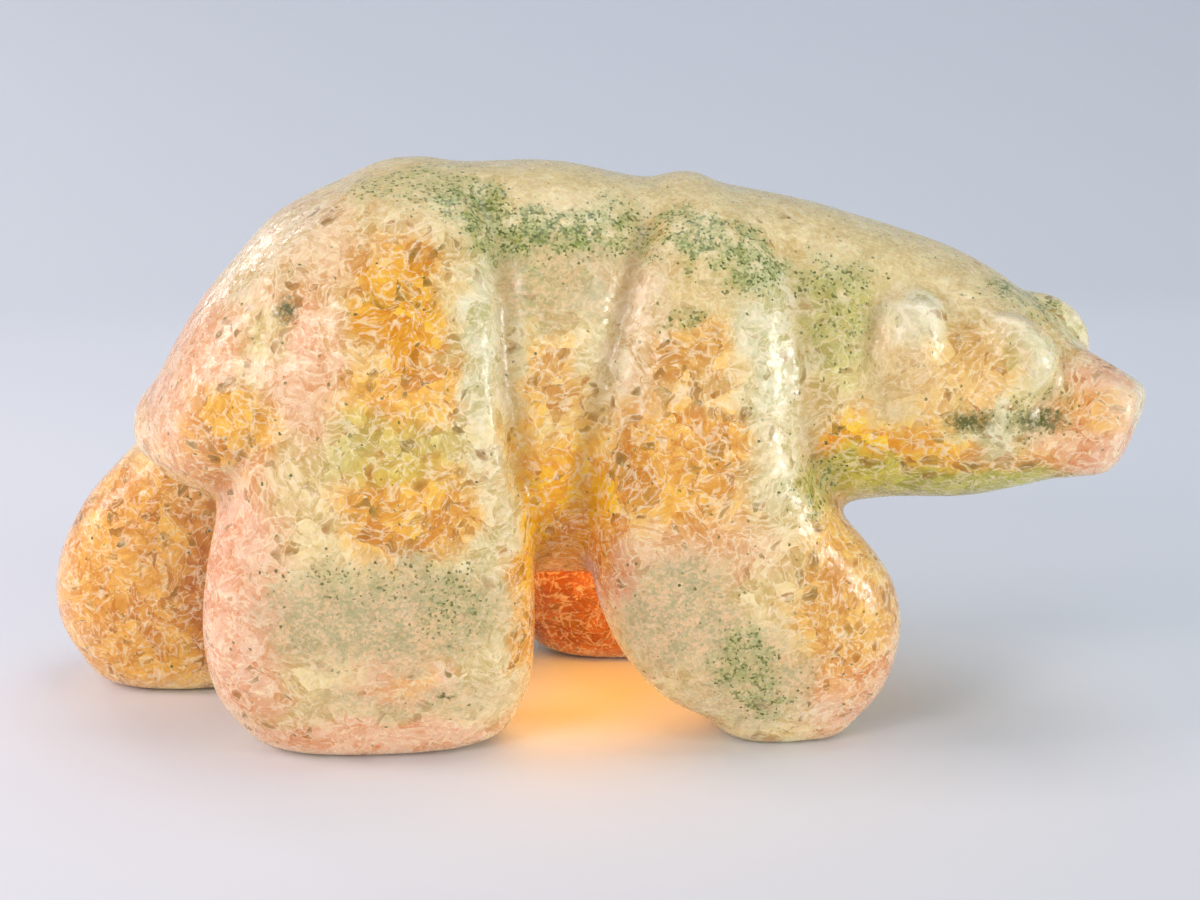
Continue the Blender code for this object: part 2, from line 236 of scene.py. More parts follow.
# The flank that faces the camera, from the rump to the nose.
RIGHT_SIDE = (
    Patch(Stain.PEACH, (-104, -34, 108), (16, 34, 34), 0.80),
    Patch(Stain.PEACH, (-76, -30, 138), (26, 30, 16), 0.50),
    Patch(Stain.FROST, (-84, -24, 138), (22, 18, 18), 0.60),
    Patch(Stain.PEACH, (-74, -50, 112), (12, 24, 22), 0.75),
    Patch(Stain.AMBER, (-94, -47, 96), (13, 20, 10), 1.00),
    Patch(Stain.AMBER, (-105, -42, 84), (14, 20, 8), 0.50),
    Patch(Stain.OLIVE, (-82, -47, 120), (6, 14, 7), 0.40),
    Patch(Stain.AMBER, (-50, -50, 126), (13, 26, 19), 1.00),
    Patch(Stain.GOLD, (-50, -50, 124), (9, 20, 12), 0.45),
    Patch(Stain.AMBER, (-47, -56, 104), (18, 26, 12), 1.00),
    Patch(Stain.OLIVE, (-50, -57, 92), (20, 22, 9), 0.55),
    Patch(Stain.AMBER, (-47, -57, 76), (20, 26, 16), 0.95),
    Patch(Stain.GOLD, (-46, -57, 78), (10, 22, 14), 0.20),
    # Pale frost that also carries a painted highlight along the haunch's front ridge.
    Patch(Stain.FROST, (-25, -44, 118), (8, 24, 30), 1.00),
    # Pale frost that also carries a painted highlight on the lower haunch ridge.
    Patch(Stain.FROST, (-25, -54, 74), (6, 20, 30), 0.55),
    Patch(Stain.AMBER, (-17, -50, 50), (7, 20, 30), 1.00),
    Patch(Stain.PEACH, (-96, -50, 50), (16, 30, 46), 0.95),
    Patch(Stain.HAZE, (-56, -57, 46), (32, 22, 16), 1.00),
    Patch(Stain.PEACH, (-50, -55, 27), (15, 16, 8), 0.80),
    Patch(Stain.AMBER, (-49, -55, 28), (7, 14, 5), 0.50),
    Patch(Stain.HAZE, (-50, -54, 19), (30, 18, 6), 0.70),
    Patch(Stain.PEACH, (-62, -48, 5), (46, 24, 9), 0.90),
    Patch(Stain.FROST, (-28, -50, 30), (9, 16, 24), 0.40),
    Patch(Stain.HAZE, (-8, -40, 131), (16, 22, 12), 0.75),
    # Pale frost that also carries a painted highlight along the shoulder's rear ridge.
    Patch(Stain.FROST, (5, -42, 122), (6, 20, 22), 0.55),
    Patch(Stain.AMBER, (-10, -45, 107), (11, 20, 13), 0.65),
    # Painted shade: deep gold laid along the crease between haunch and trunk.
    Patch(Stain.GOLD, (-20, -45, 96), (6, 20, 26), 0.70),
    # Gold stone, deepened as a painted glow for the shaded panel between the legs.
    Patch(Stain.GOLD, (-7, -40, 70), (16, 28, 22), 1.00),
    # Painted glow in the shade under the belly.
    Patch(Stain.RUST, (-2, -34, 56), (14, 24, 14), 0.60),
    Patch(Stain.PEACH, (12, -40, 118), (8, 24, 34), 0.50),
    # Pale frost that also carries a painted highlight on the shoulder's rear ridge.
    Patch(Stain.FROST, (14, -40, 126), (6, 24, 24), 0.45),
    Patch(Stain.CHALK, (29, -42, 130), (18, 22, 13), 0.50),
    Patch(Stain.AMBER, (24, -48, 113), (14, 22, 9), 0.70),
    Patch(Stain.AMBER, (25, -53, 84), (23, 26, 20), 1.00),
    Patch(Stain.PEACH, (26, -54, 63), (24, 22, 10), 0.60),
    Patch(Stain.PEACH, (2, -46, 58), (10, 22, 26), 0.95),
    Patch(Stain.HAZE, (24, -54, 40), (17, 18, 18), 1.00),
    Patch(Stain.HAZE, (42, -53, 25), (16, 18, 14), 0.90),
    Patch(Stain.FROST, (46, -50, 14), (20, 16, 7), 0.50),
    Patch(Stain.AMBER, (70, -48, 46), (18, 26, 26), 0.80),
    Patch(Stain.PEACH, (74, -46, 18), (20, 26, 16), 0.95),
    Patch(Stain.FROST, (47, -44, 116), (9, 22, 26), 1.00),
    # Pale frost that also carries a painted highlight on the shoulder's front ridge.
    Patch(Stain.FROST, (51, -50, 84), (8, 18, 16), 0.65),
    Patch(Stain.HAZE, (66, -40, 122), (14, 22, 14), 0.30),
    Patch(Stain.OLIVE, (66, -41, 119), (13, 18, 17), 0.85),
    Patch(Stain.CHALK, (81, -44, 105), (13, 20, 14), 0.40),
    Patch(Stain.GOLD, (74, -42, 84), (14, 20, 12), 1.00),
    Patch(Stain.OLIVE, (74, -38, 76), (16, 20, 9), 1.00),
    Patch(Stain.MOSS, (61, -40, 76), (7, 16, 9), 0.50),
    Patch(Stain.OLIVE, (102, -42, 73), (32, 20, 9), 1.00),
    Patch(Stain.GOLD, (89, -46, 84), (13, 18, 11), 0.80),
    Patch(Stain.AMBER, (98, -50, 104), (16, 18, 12), 0.50),
    Patch(Stain.AMBER, (108, -48, 82), (22, 18, 8), 0.60),
    # Pale frost that also carries a painted highlight on the ear's top.
    Patch(Stain.FROST, (87, -44, 121), (10, 12, 8), 0.80),
    Patch(Stain.OLIVE, (117, -52, 108), (8, 12, 12), 0.55),
    # Pale frost that also carries a painted highlight on the near brow.
    Patch(Stain.FROST, (118, -52, 108), (8, 12, 12), 0.35),
    Patch(Stain.FROST, (109, -51, 92), (5, 10, 7), 0.90),
    Patch(Stain.PEACH, (136, -48, 92), (18, 26, 20), 0.95),
    Patch(Stain.AMBER, (134, -50, 95), (11, 16, 9), 0.75),
    # Painted highlight on the tip of the nose, over pale frost.
    Patch(Stain.FROST, (149, -44, 98), (5, 16, 10), 0.80),
)

# The smooth, even-grained strip along the spine, and the dark green mineral on the crests beside it.
CRESTS = (
    Patch(Stain.CHALK, (-40, 0, 154), (34, 30, 12), 0.90),
    Patch(Stain.CHALK, (15, -6, 152), (52, 26, 12), 1.00),
    Patch(Stain.CHALK, (78, -12, 134), (32, 26, 14), 1.00),
    Patch(Stain.CHALK, (110, -26, 122), (18, 16, 8), 0.60),
    Patch(Stain.MOSS, (-44, -20, 154), (16, 12, 6), 0.50),
    Patch(Stain.MOSS, (-30, -29, 149), (10, 12, 7), 0.95),
    Patch(Stain.MOSS, (-22, -36, 141), (6, 12, 8), 0.80),
    Patch(Stain.OLIVE, (-15, -42, 132), (8, 14, 14), 0.45),
    Patch(Stain.MOSS, (-10, -33, 142), (14, 12, 7), 1.10),
    Patch(Stain.MOSS, (8, -31, 143), (12, 12, 8), 0.80),
    Patch(Stain.FROST, (4, -26, 147), (12, 10, 6), 0.40),
    Patch(Stain.MOSS, (29, -34, 141), (10, 12, 6), 1.10),
    Patch(Stain.MOSS, (42, -37, 136), (11, 12, 8), 0.95),
    Patch(Stain.MOSS, (23, -46, 121), (8, 14, 3), 0.60),
    Patch(Stain.MOSS, (64, -36, 130), (14, 12, 5), 0.55),
    Patch(Stain.MOSS, (68, -41, 118), (10, 14, 14), 0.24),
    Patch(Stain.MOSS, (122, -24, 123), (15, 12, 5), 0.75),
    Patch(Stain.OLIVE, (136, -24, 115), (9, 12, 7), 0.20),
    # Pale frost that also carries a painted highlight on the far brow.
    Patch(Stain.FROST, (136, -24, 113), (9, 12, 8), 0.70),
    Patch(Stain.MOSS, (-57, -56, 57), (26, 16, 5), 0.30),
    Patch(Stain.MOSS, (-36, -54, 50), (8, 14, 12), 0.35),
    Patch(Stain.MOSS, (41, -53, 28), (8, 14, 11), 0.75),
    Patch(Stain.MOSS, (47, -51, 16), (6, 14, 4), 0.80),
    Patch(Stain.MOSS, (100, -51, 94), (7, 10, 5), 0.35),
    Patch(Stain.MOSS, (119, -50, 94), (9, 10, 6), 0.40),
)

# The sides that the photograph doesn't show, stained in the same way as the one that it does.
FAR_SIDES = (
    # Painted glow in the shade under the belly and inside the far foreleg.
    Patch(Stain.RUST, (0, 0, 40), (60, 26, 16), 0.90),
    Patch(Stain.RUST, (4, 24, 20), (46, 14, 36), 0.95),
    Patch(Stain.AMBER, (-122, 12, 34), (32, 30, 40), 0.90),
    Patch(Stain.PEACH, (-138, 14, 36), (20, 34, 42), 0.80),
    # Painted glow in the shade between the hind legs.
    Patch(Stain.RUST, (-104, 4, 34), (10, 12, 30), 0.60),
    Patch(Stain.PEACH, (-108, 0, 106), (18, 40, 30), 0.70),
    Patch(Stain.AMBER, (-60, 52, 108), (30, 26, 30), 0.90),
    Patch(Stain.HAZE, (-104, 56, 44), (34, 24, 22), 0.90),
    # Pale frost that also carries a painted highlight on the far haunch ridge.
    Patch(Stain.FROST, (-34, 44, 112), (9, 24, 34), 0.80),
    Patch(Stain.GOLD, (-10, 42, 84), (18, 26, 30), 0.80),
    Patch(Stain.AMBER, (20, 56, 86), (24, 26, 26), 0.85),
    Patch(Stain.HAZE, (8, 60, 34), (24, 22, 22), 0.90),
    Patch(Stain.PEACH, (-74, 48, 60), (16, 24, 40), 0.70),
    Patch(Stain.PEACH, (34, 54, 40), (14, 24, 34), 0.70),
    # Pale frost that also carries a painted highlight on the far shoulder ridge.
    Patch(Stain.FROST, (58, 32, 106), (9, 20, 30), 0.70),
    Patch(Stain.AMBER, (104, 0, 94), (30, 18, 18), 0.75),
    Patch(Stain.OLIVE, (80, 0, 68), (40, 34, 8), 0.80),
    Patch(Stain.MOSS, (-8, 33, 143), (24, 12, 6), 0.90),
    Patch(Stain.MOSS, (-40, 24, 151), (14, 14, 7), 0.60),
    Patch(Stain.MOSS, (34, 34, 139), (14, 13, 7), 0.90),
)


@dataclass(frozen=True)
class Fleck:
    """One separate dark inclusion: a small ragged ellipsoid, in millimetres."""

    centre: Triple
    reach: Triple
    strength: float


FLECKS = (
    Fleck((100.8, -51.3, 93.4), (6.2, 8.0, 2.6), 0.95),
    Fleck((119.0, -50.0, 93.2), (8.2, 8.0, 2.9), 0.95),
    Fleck((-78.3, -46.1, 125.7), (2.8, 4.0, 3.4), 1.00),
    Fleck((-39.5, -52.3, 21.1), (1.8, 3.0, 1.2), 0.90),
    Fleck((46.7, -51.4, 15.6), (3.4, 5.0, 2.0), 0.60),
    Fleck((66.3, -44.9, 90.5), (1.6, 3.0, 1.4), 0.90),
)


@dataclass(frozen=True)
class Stroke:
    """One pass of the carver's tool over a flank: a ridge left standing, or below 0 a groove.

    The path is seen from the side, in millimetres along X and up Z. Side -1 is the right flank.
    """

    side: int
    path: tuple[tuple[float, float], ...]
    width: float
    height: float


# The creases and ridges that part haunch, trunk, shoulder and neck, and the features of the face.
STROKES = (
    Stroke(-1, ((-27, 150), (-23, 141), (-21, 129), (-20.5, 104), (-19, 93), (-17, 78)), 4.0, -2.0),
    Stroke(-1, ((-31, 148), (-28, 141), (-27, 128), (-27, 104), (-25, 90), (-22, 74)), 3.2, 0.9),
    Stroke(-1, ((16, 143), (12.5, 136), (9.5, 126), (6, 115), (1, 100), (-2, 86), (-2, 70)), 4.2, -2.0),
    Stroke(-1, ((21.5, 142), (18, 134), (15, 125), (11.5, 114), (7, 100), (4, 84)), 3.2, 1.0),
    Stroke(-1, ((56, 134), (57, 125), (57.5, 112), (58.5, 98), (61, 86), (65, 77)), 5.0, -1.3),
    Stroke(-1, ((48, 134), (49.5, 122), (51.5, 110), (54, 96)), 5.0, 0.5),
    Stroke(-1, ((-97, 72), (-95, 80), (-90, 89), (-84, 97)), 4.5, -1.4),
    Stroke(-1, ((-75, 104), (-83, 92), (-89, 82), (-93, 68)), 5.0, 0.8),
    Stroke(-1, ((-64, 144), (-75, 133), (-83, 121), (-89, 109), (-93, 100)), 7.0, -1.1),
    Stroke(-1, ((-60, 153), (-72, 145), (-86, 134), (-97, 120), (-106, 106)), 6.0, 0.6),
    Stroke(-1, ((74, 113), (76, 121), (82, 127), (89, 128.5), (95, 127)), 3.5, -1.1),
    Stroke(-1, ((93, 112), (97, 118), (97, 123)), 3.5, -1.1),
    Stroke(-1, ((80, 112), (81, 121), (86, 125), (91, 123)), 3.2, 1.3),
    Stroke(-1, ((73, 108), (75, 101), (80, 95)), 4.0, -0.8),
    Stroke(-1, ((78, 110), (80, 103), (84, 98)), 3.5, 0.6),
    Stroke(-1, ((106, 120), (113, 118.5), (117, 113), (118, 106), (116, 100)), 3.2, 1.0),
    Stroke(-1, ((120, 119), (125, 113), (126.5, 107), (123.5, 102), (120, 97)), 3.0, -1.5),
    Stroke(-1, ((100, 115), (104, 109), (103, 102)), 6.0, -0.5),
)


@dataclass(frozen=True)
class Swell:
    """A place where the stone was left fuller, or below 0 rubbed lower, in millimetres."""

    centre: Triple
    reach: Triple
    height: float


# The hip's crest, the round of the rump, the withers and the brows, and four small chips.
SWELLS = (
    Swell((-37, -16, 157), (11, 16, 10), 1.3),
    Swell((-104, -12, 116), (22, 30, 26), 1.8),
    Swell((-80, -8, 142), (20, 26, 14), 0.9),
    Swell((70, -14, 140), (16, 20, 12), 0.8),
    Swell((124, -20, 120), (8, 12, 8), -1.4),
    Swell((98, -28, 130), (16, 16, 8), -0.8),
    Swell((-92.0, -50.0, 46.5), (1.7, 3.0, 1.7), -0.8),
    Swell((-88.5, -50.0, 26.5), (1.7, 3.0, 1.7), -0.8),
    Swell((-39.5, -52.3, 21.1), (1.9, 3.0, 1.4), -0.7),
    Swell((108.0, -33.0, 128.0), (2.0, 4.0, 1.6), -0.8),
)


class Grain(Enum):
    """The two kinds of stone in the block: coarse crystals, and fine grit that fills between them."""

    CRYSTAL = "crystal"
    GRIT = "grit"


@dataclass(frozen=True)
class Tint:
    """What one stain does to one kind of stone: a pale and a deep tone that its grains vary between."""

    stain: Stain
    pale: str
    deep: str
    most: float
    grain: Grain


@dataclass(frozen=True)
class MottledStone:
    """Polished carving stone: coarse calcite crystals in fine soapstone, sealed and rubbed to a soft gloss.

    To the eye it is a pale, slightly see-through cream with angular honey-coloured crystals, whitish
    feathered seams between them, and clumps of dark green specks. Light sinks a few millimetres in, so
    the shadows are warm and the edges glow. The deeper warm glow in the shade under the belly and between
    the legs is painted into its colour, as are shade in its hollows and highlight on its ridges.
    """

    # The widths of the grains, and of the waves of what varies across them.
    crystal_mm: float = 7.0
    piece_mm: float = 2.8
    grit_mm: float = 0.7
    seam_mm: float = 0.45
    needle_mm: float = 1.1
    streak_mm: float = 2.0
    cloud_mm: float = 6.0
    chip_clump_mm: float = 12.0
    open_seam_mm: float = 3.6
    moss_clump_mm: float = 4.0
    fleck_grain_mm: float = 1.1
    face_mm: float = 1.8
    shine_mm: float = 1.5
    # How much the fine unevenness shows, and how deep it is.
    face_strength: float = 0.45
    face_depth_mm: float = 0.35

    cream: str = "#F4DFA8"
    cream_shade: str = "#CBAC66"
    deep_amber: str = "#B4700C"
    seam: str = "#FEEECA"
    umber: str = "#7C6420"
    moss_pale: str = "#B8C084"
    moss_cloud: str = "#88963E"
    moss: str = "#586224"
    fleck: str = "#5A5C1E"
    # Painted shade for the hollows and creases, and painted highlight for the ridges.
    hollow: str = "#A8741A"
    ridge: str = "#F6EFDC"
    tints: tuple[Tint, ...] = (
        Tint(Stain.PEACH, "#F0C4A8", "#E09060", 0.88, Grain.CRYSTAL),
        Tint(Stain.AMBER, "#F6BE46", "#D0820A", 0.94, Grain.CRYSTAL),
        # Gold stone, also used for a painted glow and a painted crease shade.
        Tint(Stain.GOLD, "#FFCE1C", "#E69600", 0.97, Grain.CRYSTAL),
        # Painted glow: the orange of light through the stone, for shaded undersides.
        Tint(Stain.RUST, "#CC6C00", "#A84C00", 0.98, Grain.CRYSTAL),
        Tint(Stain.OLIVE, "#C9C85C", "#9C9E34", 0.85, Grain.CRYSTAL),
        # Pale frost, used in places as a painted highlight on ridges, brows, the ear and the nose tip.
        Tint(Stain.FROST, "#F0EED6", "#BCBD84", 0.75, Grain.CRYSTAL),
        Tint(Stain.CHALK, "#ECDAA6", "#D3BB82", 0.90, Grain.GRIT),
        Tint(Stain.HAZE, "#A8A47A", "#E8C49A", 0.80, Grain.GRIT),
    )
    ior: float = 1.50
    gloss: float = 0.50
    dullness: tuple[float, float] = (0.15, 0.38)
    glow: float = 0.35
    glow_depth: float = 0.006
    glow_reach: Triple = (1.0, 0.5, 0.2)

    def build(self, flecks: tuple[Fleck, ...]) -> bpy.types.Material:
        """Makes the stone.

        Args:
            flecks: the separate dark inclusions.

        Returns:
            The material.
        """
        material = new_material("mottled_stone_polished")
        tree = material.node_tree
        place = self.place_in_block(tree)
        bent = self.bend(tree, place)
        crystal = add_cells(tree, bent, self.crystal_mm)
        own = self.crystal_frame(tree, bent, crystal)
        piece = add_cells(tree, own, self.piece_mm)
        grit = add_cells(tree, place, self.grit_mm)
        stains = self.read_stains(tree)
        depth = self.crystal_depth(tree, own, crystal, piece)
        colour = add_mix(tree, depth, linear(self.cream), linear(self.cream_shade))
        colour = self.soaked(tree, colour, Grain.CRYSTAL, depth, stains)
        colour = self.chips(tree, place, piece, stains, colour)
        colour = self.seams(tree, place, own, colour)
        depth = self.grit_depth(tree, place, grit)
        colour = self.soaked(tree, colour, Grain.GRIT, depth, stains)
        colour = self.age(tree, colour)
        colour = self.specks(tree, place, grit, stains, colour)
        colour = self.set_flecks(tree, place, colour, flecks)
        inputs = {
            "Base Color": colour,
            "Roughness": self.polish(tree, bent),
            "IOR": self.ior,
            "Specular IOR Level": self.gloss,
            "Subsurface Weight": self.glow,
            "Subsurface Radius": self.glow_reach,
            "Subsurface Scale": self.glow_depth,
            "Normal": self.grain_faces(tree, place),
        }
        add_surface(tree, inputs)
        return material

    def place_in_block(self, tree: Tree) -> Socket:
        """Gives the place in the block, in millimetres."""
        coordinates = add_node(tree, "ShaderNodeTexCoord", {}, {})
        inputs = {0: coordinates.outputs["Object"], "Scale": 1 / MM}
        return add_node(tree, "ShaderNodeVectorMath", {"operation": "SCALE"}, inputs).outputs[0]

    def shaken(self, tree: Tree, place: Socket, wave_mm: float, shift_mm: float) -> Socket:
        """Moves the place by a wandering amount.

        Args:
            tree: the stone's nodes.
            place: the place in the block.
            wave_mm: the width of the wandering's waves.
            shift_mm: how far it moves at most, from one side to the other.

        Returns:
            The moved place.
        """
        waves = add_noise(tree, place, wave_mm, 2.0, 0.6).outputs["Color"]
        centred = add_vector_sum(tree, "SUBTRACT", waves, HALF)
        return add_vector_sum(tree, "MULTIPLY_ADD", centred, (shift_mm, shift_mm, shift_mm), place)

    def bend(self, tree: Tree, place: Socket) -> Socket:
        """Bends the place widely and then finely, so that no grain is regular."""
        return self.shaken(tree, self.shaken(tree, place, 14.0, 9.0), 2.2, 1.6)

    def crystal_frame(self, tree: Tree, bent: Socket, crystal: Node) -> Socket:
        """Turns the place by a random amount in each crystal, and draws it out along one direction.

        Args:
            tree: the stone's nodes.
            bent: the bent place in the block.
            crystal: the crystals.

        Returns:
            The place in the crystal's own directions.
        """
        axis = add_vector_sum(tree, "SUBTRACT", crystal.outputs["Color"], HALF)
        angle = add_measure(tree, "DOT_PRODUCT", crystal.outputs["Color"], (9.0, 5.0, 3.0))
        inputs = {"Vector": bent, "Axis": axis, "Angle": angle}
        turned = add_node(tree, "ShaderNodeVectorRotate", {}, inputs).outputs[0]
        return add_vector_sum(tree, "MULTIPLY", turned, (0.5, 1.0, 1.0))

    def read_stains(self, tree: Tree) -> dict[Stain, Socket]:
        """Reads how strongly each stain has soaked into the skin, from its attributes."""
        channels = {name: read_vector(tree, name) for name in sorted({stain.value[0] for stain in Stain})}
        return {stain: channels[stain.value[0]][stain.value[1]] for stain in Stain}

    def lay(
        self, tree: Tree, under: Socket, tint: Colour | Socket, amount: Socket, most: float
    ) -> Socket:
        """Lays a tint over the stone's colour.

        Args:
            tree: the stone's nodes.
            under: the colour so far.
            tint: the tint's colour.
            amount: how much of it there is, from 0 to 1.
            most: what a full amount covers.

        Returns:
            The new colour.
        """
        settings = {"operation": "MULTIPLY", "use_clamp": True}
        cover = add_node(tree, "ShaderNodeMath", settings, {0: amount, 1: most}).outputs[0]
        return add_mix(tree, cover, under, tint)

    def soaked(
        self, tree: Tree, colour: Socket, grain: Grain, depth: Socket, stains: dict[Stain, Socket]
    ) -> Socket:
        """Soaks the tints of one kind of stone into it.

        Args:
            tree: the stone's nodes.
            colour: the colour so far.
            grain: the kind of stone.
            depth: its depth of tone, from pale at 0 to deep at 1.
            stains: the strength of each stain.

        Returns:
            The new colour.
        """
        for tint in self.tints:
            if tint.grain is grain:
                tone = add_mix(tree, depth, linear(tint.pale), linear(tint.deep))
                colour = self.lay(tree, colour, tone, stains[tint.stain], tint.most)
        return colour

    def crystal_depth(self, tree: Tree, own: Socket, crystal: Node, piece: Node) -> Socket:
        """Gives the depth of tone in the coarse stone: by crystal, by the pieces in it, and streaked.

        Args:
            tree: the stone's nodes.
            own: the place in the crystal's own directions.
            crystal: the crystals.
            piece: the pieces that a crystal is cracked into.

        Returns:
            The depth, from pale at 0 to deep at 1.
        """
        whole = random_shares(tree, crystal)[0]
        part = random_shares(tree, piece)[1]
        depth = add_noise(tree, own, self.streak_mm, 2.0, 0.7).outputs[0]
        for tone, share in ((whole, 0.45), (part, 0.26), (piece.outputs["Distance"], 0.16)):
            depth = add_sum(tree, "MULTIPLY_ADD", tone, share, depth)
        return add_range(tree, depth, 0.62, 1.22)

    def grit_depth(self, tree: Tree, place: Socket, grit: Node) -> Socket:
        """Gives the depth of tone in the fine stone: clouds over some millimetres, and single grit grains.

        Args:
            tree: the stone's nodes.
            place: the place in the block.
            grit: the fine grains.

        Returns:
            The depth, from pale at 0 to deep at 1.
        """
        cloud = add_noise(tree, place, self.cloud_mm, 3.0, 0.75).outputs[0]
        depth = add_sum(tree, "MULTIPLY_ADD", random_shares(tree, grit)[0], 0.40, cloud)
        return add_range(tree, depth, 0.50, 0.90)

    def age(self, tree: Tree, colour: Socket) -> Socket:
        """Paints shade into the hollows and a pale highlight onto the ridges, by how deep or proud each
        point lies.
        """
        lie = read_vector(tree, RELIEF_NAME)
        colour = self.lay(tree, colour, linear(self.hollow), lie[0], 0.45)
        return self.lay(tree, colour, linear(self.ridge), lie[1], 0.40)

    def chips(
        self, tree: Tree, place: Socket, piece: Node, stains: dict[Stain, Socket], colour: Socket
    ) -> Socket:
        """Makes some pieces deep amber or umber, mostly where amber has soaked in.

        Args:
            tree: the stone's nodes.
            place: the place in the block.
            piece: the pieces that a crystal is cracked into.
            stains: the strength of each stain.
            colour: the colour so far.

        Returns:
            The new colour.
        """
        clump = add_noise(tree, place, self.chip_clump_mm, 1.0).outputs[0]
        clump = add_range(tree, clump, 0.40, 0.62, 0.2, 1.6)
        share = 0.07
        for stain, more in ((Stain.AMBER, 0.14), (Stain.CHALK, -0.06)):
            share = add_sum(tree, "MULTIPLY_ADD", stains[stain], more, share)
        share = add_sum(tree, "MULTIPLY", clump, share)
        random = random_shares(tree, piece)
        taken = add_sum(tree, "LESS_THAN", random[0], share)
        heart = add_range(tree, piece.outputs["Distance"], 0.15, 0.60, 1.0, 0.35)
        taken = add_sum(tree, "MULTIPLY", taken, heart)
        tone = add_mix(tree, random[2], linear(self.deep_amber), linear(self.umber))
        return self.lay(tree, colour, tone, taken, 0.85)

    def seams(self, tree: Tree, place: Socket, own: Socket, colour: Socket) -> Socket:
        """Draws the pale seams between the pieces, here and there, and the white needles inside them.

        Args:
            tree: the stone's nodes.
            place: the place in the block.
            own: the place in the crystal's own directions.
            colour: the colour so far.

        Returns:
            The new colour.
        """
        edge = add_cells(tree, own, self.piece_mm, "DISTANCE_TO_EDGE").outputs["Distance"]
        open_here = add_noise(tree, place, self.open_seam_mm, 2.0).outputs[0]
        width = add_range(tree, open_here, 0.40, 0.66, 0.0, self.seam_mm / self.piece_mm)
        seam = add_range(tree, edge, width, 0.0)
        colour = self.lay(tree, colour, linear(self.seam), seam, 0.56)
        fine = add_vector_sum(tree, "MULTIPLY", own, (0.30, 1.0, 1.0))
        needle = add_noise(tree, fine, self.needle_mm, 1.0, 0.6).outputs[0]
        needle = add_range(tree, needle, 0.56, 0.68)
        return self.lay(tree, colour, linear(self.seam), needle, 0.45)

    def specks(
        self, tree: Tree, place: Socket, grit: Node, stains: dict[Stain, Socket], colour: Socket
    ) -> Socket:
        """Clouds the moss with green and scatters dark specks, dense in the clouds and rare elsewhere.

        Args:
            tree: the stone's nodes.
            place: the place in the block.
            grit: the fine grains, some of which are the specks.
            stains: the strength of each stain.
            colour: the colour so far.

        Returns:
            The new colour.
        """
        clump = add_noise(tree, place, self.moss_clump_mm, 2.0, 0.7).outputs[0]
        clump = add_range(tree, clump, 0.30, 0.60)
        cloud = add_sum(tree, "MULTIPLY", clump, stains[Stain.MOSS])
        random = random_shares(tree, grit)
        tone = add_mix(tree, random[1], linear(self.moss_pale), linear(self.moss_cloud))
        colour = self.lay(tree, colour, tone, cloud, 0.85)
        share = add_sum(tree, "MULTIPLY_ADD", cloud, 0.60, 0.006)
        speck = add_sum(tree, "LESS_THAN", random[2], share)
        depth = add_range(tree, random[0], 0.0, 1.0, 0.25, 0.95)
        speck = add_sum(tree, "MULTIPLY", speck, depth)
        return self.lay(tree, colour, linear(self.moss), speck, 1.0)

    def set_flecks(self, tree: Tree, place: Socket, colour: Socket, flecks: tuple[Fleck, ...]) -> Socket:
        """Sets the separate dark inclusions into the stone.

        Args:
            tree: the stone's nodes.
            place: the place in the block.
            colour: the stone's colour so far.
            flecks: the inclusions.

        Returns:
            The colour with the inclusions.
        """
        ragged = self.shaken(tree, place, 1.8, 7.0)
        whole = add_noise(tree, place, self.fleck_grain_mm, 2.0, 0.6).outputs[0]
        whole = add_range(tree, whole, 0.34, 0.50, 0.20, 1.0)
        for fleck in flecks:
            away = add_vector_sum(tree, "SUBTRACT", ragged, fleck.centre)
            shares = add_vector_sum(tree, "DIVIDE", away, fleck.reach)
            far = add_measure(tree, "LENGTH", shares)
            inside = add_sum(tree, "MULTIPLY", add_range(tree, far, 1.35, 0.45), whole)
            colour = self.lay(tree, colour, linear(self.fleck), inside, fleck.strength)
        return colour

    def polish(self, tree: Tree, bent: Socket) -> Socket:
        """Gives the roughness: a hand polish that is duller on some grains than on others."""
        spots = add_noise(tree, bent, self.shine_mm, 2.0, 0.7).outputs[0]
        return add_range(tree, spots, 0.35, 0.65, *self.dullness)

    def grain_faces(self, tree: Tree, place: Socket) -> Socket:
        """Gives the fine unevenness: each grain's face leans its own way and breaks up the gloss."""
        grain = add_cells(tree, place, self.face_mm)
        lean = add_vector_sum(tree, "SUBTRACT", grain.outputs["Color"], HALF)
        inside = add_vector_sum(tree, "SUBTRACT", place, grain.outputs["Position"])
        height = add_measure(tree, "DOT_PRODUCT", lean, inside)
        inputs = {"Strength": self.face_strength, "Distance": self.face_depth_mm * MM, "Height": height}
        return add_node(tree, "ShaderNodeBump", {}, inputs).outputs[0]


@dataclass(frozen=True)
class SweepPaper:
    """Matt background paper with its light falloff painted in: pale, whitest behind the carving, and a
    little greyer in front and above.
    """

    near: str = "#E4E6EC"
    middle: str = "#F7F9FD"
    far: str = "#E2E5EE"
    near_y: float = -0.20
    middle_y: float = 0.50
    far_y: float = 1.70
    roughness: float = 0.9
    gloss: float = 0.1

    def build(self) -> bpy.types.Material:
        """Makes the paper."""
        material = new_material("sweep_paper_matt")
        tree = material.node_tree
        coordinates = add_node(tree, "ShaderNodeTexCoord", {}, {})
        apart = add_node(tree, "ShaderNodeSeparateXYZ", {}, {0: coordinates.outputs["Object"]}).outputs
        along = add_sum(tree, "ADD", apart[2], apart[1])
        to_middle = add_range(tree, along, self.near_y, self.middle_y)
        colour = add_mix(tree, to_middle, linear(self.near), linear(self.middle))
        to_far = add_range(tree, along, self.middle_y, self.far_y)
        colour = add_mix(tree, to_far, colour, linear(self.far))
        inputs = {"Base Color": colour, "Roughness": self.roughness, "Specular IOR Level": self.gloss}
        add_surface(tree, inputs)
        return material


